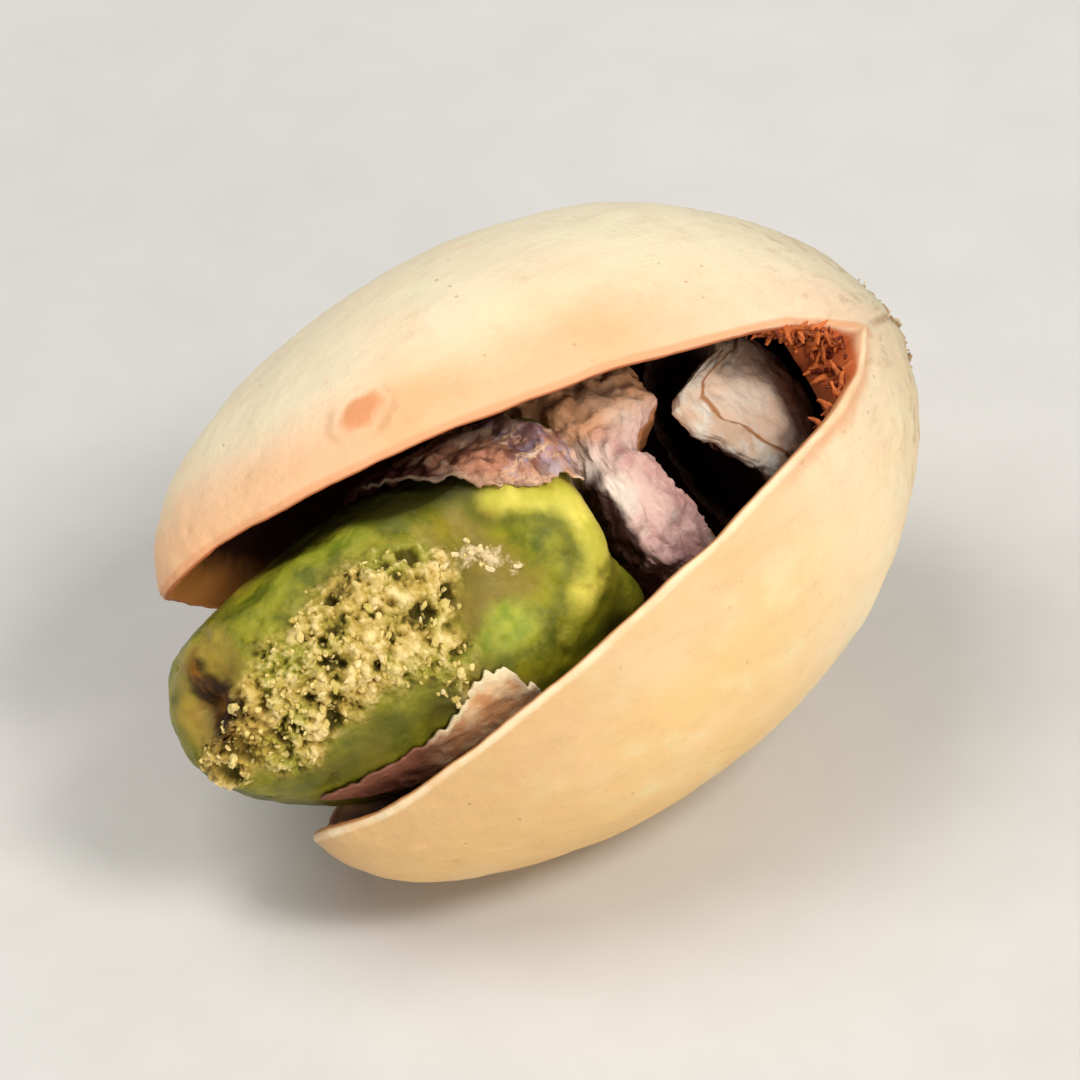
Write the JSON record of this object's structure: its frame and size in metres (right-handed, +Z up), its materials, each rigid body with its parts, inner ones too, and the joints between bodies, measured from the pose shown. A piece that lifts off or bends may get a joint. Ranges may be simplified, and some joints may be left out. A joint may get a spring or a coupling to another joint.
{
  "type": "pistachio in shell",
  "caption": "Roasted pistachio lying on its side: a split woody shell joined at the stem end, with a broken green seed showing in its mouth.",
  "frame": {"origin": "middle of the nut's box at the level that it rests on", "axes": "+X towards the stem end along the nut's length, -Y towards the mouth, +Z up"},
  "size_m": [0.022, 0.0146, 0.014],
  "materials": {
    "shell_wood": "dry, smooth and satin, cream to tan",
    "seed_flesh": "waxy yellow-green, crumbled in places",
    "seed_skin": "thin wrinkled pink to purple coat, satin"
  },
  "bodies": {
    "root": {"shell": "shell_wood", "kernel_front": "seed_flesh", "kernel_middle": "seed_skin", "kernel_back": "seed_skin"}
  },
  "joints": []
}
